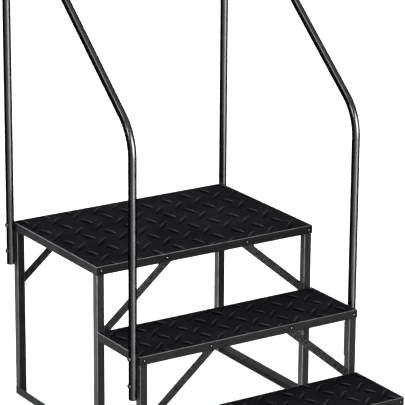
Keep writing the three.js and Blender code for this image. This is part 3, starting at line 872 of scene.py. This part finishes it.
def build_handrail_bolts(name):
    """Bolts with curved seats: outside the tube on the left, inside the plates on the right."""
    axis_x = post_places(name)["front"].x
    for post in POSTS:
        for level in ("upper", "lower"):
            node = f"handrail_bolt_{name}_{post}_{level}"
            low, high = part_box(node)
            head_r = (high.z - low.z) / 2
            if name == "left":
                spacer = f"handrail_spacer_{post}_{level}"
                under_head, seat_face, replaced = axis_x - TUBE_R - GAP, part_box(spacer)[1].x, [spacer]
            else:
                plate_low, plate_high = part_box(f"handrail_plate_{post}")
                under_head, seat_face, replaced = plate_low.x - GAP, plate_high.x, []
            middle = Vector((under_head, (low.y + high.y) / 2, (low.z + high.z) / 2))
            bolt = bmesh.new()
            domed_bolt(bolt, pointed(middle, (-1, 0, 0)), high.x - under_head, head_r, under_head - low.x)
            make_piece(f"{node}_domed", bolt, FASTENER, [node], sharp=40)

            seats = bmesh.new()
            saddle(seats, seat_face, 1 if name == "left" else -1, middle, axis_x, SEAT_R, SEAT_BORE)
            if name == "left":
                head_seat_r = head_r - HEAD_SEAT_INSET
                saddle(seats, under_head, -1, middle, axis_x, head_seat_r, HEAD_SEAT_BORE)
            make_piece(f"{node}_seats", seats, COAT, replaced)


def build_screw(node, face, pins):
    """A domed rivet screw along Y with a bright pin; face is -1 from the front, +1 from the back."""
    low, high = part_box(node)
    crown, tip = (low.y, high.y) if face < 0 else (high.y, low.y)
    head_r = (high.x - low.x) / 2
    dome_r = head_r - SCREW_BRIM
    middle = Vector(((low.x + high.x) / 2, crown - face * SCREW_HEAD, (low.z + high.z) / 2))
    shank = abs(middle.y - tip)
    profile = [(SCREW_R * 0.6, -shank), (SCREW_R, -shank + SCREW_POINT), (SCREW_R, 0)]
    profile += [(head_r - SCREW_EASE, 0), (head_r, SCREW_EASE), (head_r, SCREW_FLANGE)]
    profile += [(dome_r, SCREW_FLANGE + 0.05 * MM)]
    profile += dome(dome_r, SCREW_FLANGE, SCREW_HEAD - SCREW_FLANGE, 6, 0.6)
    rim = profile[-1][1]
    well = rim - PIN_WELL
    profile += [(PIN_R + 3 * PIN_GAP, rim), (PIN_R + PIN_GAP, well)]
    place = pointed(middle, (0, face, 0))
    bm = bmesh.new()
    turned(bm, profile, place)
    make_piece(f"{node}_domed", bm, SCREW, [node], sharp=40)
    pin = [(PIN_R, well + PIN_GAP), (PIN_R, rim - PIN_EDGE)]
    pin += dome(PIN_R, rim - PIN_EDGE, PIN_DOME, 5, 0.9)
    turned(pins, pin, place)


def build_fasteners():
    for _, name in SIDES:
        build_handrail_bolts(name)
        pins = bmesh.new()
        for row, face in (("platform_front", -1), ("platform_rear", 1), ("middle", -1), ("lower", -1)):
            build_screw(f"corner_screw_{row}_{name}", face, pins)
            if row in BRACES:
                build_screw(f"brace_screw_{row}_{name}", face, pins)
        make_piece(f"screw_pins_{name}", pins, BRIGHT, sharp=60)


def build_block():
    for tread in TREADS:
        node = f"{tread}_frame"
        make_piece(f"{node}_angle", rounded_tread(node), RIM_COAT[tread], [node])
        node = f"{tread}_deck_plate"
        make_piece(f"{node}_sheet", rounded_copy(node, SHEET_BEVEL, 2), DECK_COAT, [node])
        build_mat(tread, PATTERN["platform" if tread == "platform" else "step"])
    for side, name in SIDES:
        for leg in LEGS:
            build_leg(f"leg_{leg}_{name}", side)
        build_rail(side)
        for brace in BRACES:
            node = f"brace_{brace}_{name}"
            coat = SHADED_BRACE_COAT if "rear" in node else BRACE_COAT
            make_piece(f"{node}_bar", rounded_copy(node, BAR_BEVEL), coat, [node])
        build_handrail(name)
        for tie in ("middle", "lower"):
            node = f"tie_bolt_{tie}_{name}"
            make_piece(f"{node}_turned", rounded_copy(node, TIE_BEVEL, 2), SCREW, [node])
    for post in POSTS:
        node = f"handrail_plate_{post}"
        make_piece(f"{node}_flat", rounded_copy(node, BAR_BEVEL), COAT, [node])
    build_fasteners()
    build_welds()


# ---- studio ------------------------------------------------------------------------------
CAMERA_AZIMUTH = math.radians(-32.69)
CAMERA_ELEVATION = math.radians(17.55)
CAMERA_ROLL = math.radians(0.378)
CAMERA_DISTANCE = 7.430
CAMERA_TARGET = Vector((MIDDLE_X - 0.0175, FRONT_LINE, 0.703))
CAMERA_SENSOR = 36  # millimetres
CAMERA_LENS = 223.4
FLOOR_REACH = 15


def build_camera():
    data = bpy.data.cameras.new("camera")
    data.sensor_width = CAMERA_SENSOR
    data.lens = CAMERA_LENS
    data.clip_end = 100
    camera = bpy.data.objects.new("camera", data)
    bpy.context.scene.collection.objects.link(camera)
    back = Vector((
        math.sin(CAMERA_AZIMUTH) * math.cos(CAMERA_ELEVATION),
        -math.cos(CAMERA_AZIMUTH) * math.cos(CAMERA_ELEVATION),
        math.sin(CAMERA_ELEVATION),
    ))
    right = Vector((0, 0, 1)).cross(back).normalized()
    up = back.cross(right)
    level = Matrix((right, up, back)).transposed()
    turn = level @ Matrix.Rotation(CAMERA_ROLL, 3, "Z")
    camera.matrix_world = Matrix.Translation(CAMERA_TARGET + back * CAMERA_DISTANCE) @ turn.to_4x4()
    bpy.context.scene.camera = camera


def build_floor():
    bm = bmesh.new()
    bmesh.ops.create_grid(bm, x_segments=1, y_segments=1, size=FLOOR_REACH)
    mesh = bpy.data.meshes.new("floor")
    bm.to_mesh(mesh)
    bm.free()
    floor = bpy.data.objects.new("floor", mesh)
    bpy.context.scene.collection.objects.link(floor)
    material = bpy.data.materials.new("pale_floor")
    material.use_nodes = True
    surface = material.node_tree.nodes["Principled BSDF"]
    surface.inputs["Base Color"].default_value = (0.9, 0.9, 0.9, 1)
    surface.inputs["Roughness"].default_value = 0.9
    surface.inputs["Specular IOR Level"].default_value = 0
    surface.inputs["Emission Color"].default_value = (1, 1, 1, 1)
    surface.inputs["Emission Strength"].default_value = 0.5
    mesh.materials.append(material)
    floor.visible_glossy = False
    floor.visible_diffuse = False


class Sky(Nodes):
    """World light: white for the camera, soft light for matt surfaces, soft boxes for gloss."""

    def __init__(self):
        world = bpy.data.worlds.new("studio")
        bpy.context.scene.world = world
        world.use_nodes = True
        world.cycles.sampling_method = "NONE"  # keeps the gloss and the matt light apart
        super().__init__(world.node_tree)
        self.tree.nodes.clear()
        self.direction = self.add("ShaderNodeTexCoord").outputs["Generated"]
        self.glow = {}

    def round_box(self, azimuth, elevation, width, strength, soft, kind="gloss"):
        """A round soft box, its angles in degrees.

        Azimuth 0 is straight before the steps and 90 is to their right.
        """
        a, e = math.radians(azimuth), math.radians(elevation)
        towards = (math.sin(a) * math.cos(e), -math.cos(a) * math.cos(e), math.sin(e))
        edge = math.cos(math.radians(width / 2 + soft))
        core = math.cos(math.radians(max(width / 2 - soft, 0)))
        box = self.spread(self.dot(self.direction, towards), 0, strength, edge, core)
        self.glow[kind] = self.maths("ADD", self.glow[kind], box) if kind in self.glow else box

    def background(self, strength):
        node = self.add("ShaderNodeBackground", Color=(1, 1, 1, 1))
        self.feed(node.inputs["Strength"], strength)
        return node.outputs["Background"]

    def finish(self, base, matt, seen):
        gloss = self.background(self.maths("ADD", self.glow["gloss"], base))
        path = self.add("ShaderNodeLightPath")
        choice = self.background(self.maths("ADD", self.glow["matt"], matt))
        for ray, other in (("Is Glossy Ray", gloss), ("Is Camera Ray", self.background(seen))):
            mix = self.add("ShaderNodeMixShader", {"Fac": path.outputs[ray], 1: choice, 2: other})
            choice = mix.outputs["Shader"]
        self.add("ShaderNodeOutputWorld", {"Surface": choice})


def build_light():
    sky = Sky()  # azimuth, elevation, width, strength, softness
    sky.round_box(5, -12, 36, 1.15, 14)
    sky.round_box(-38, -18, 56, 0.42, 16)
    sky.round_box(13, 8, 34, 10.0, 12)
    sky.round_box(-56, 28, 8, 10.0, 7)
    sky.round_box(-74, 55, 10, 3.6, 7)
    sky.round_box(40, 60, 70, 0.3, 30)
    sky.round_box(160, -28, 44, 2.2, 12)
    sky.round_box(-108, 12, 60, 6.0, 28, "matt")
    sky.round_box(118, 10, 60, 3.5, 28, "matt")
    sky.round_box(0, 88, 70, 0.9, 20, "matt")
    sky.finish(base=0.02, matt=0.2, seen=1.0)
    bpy.context.scene.view_settings.view_transform = "Standard"


build_camera()
build_floor()
build_light()
build_block()
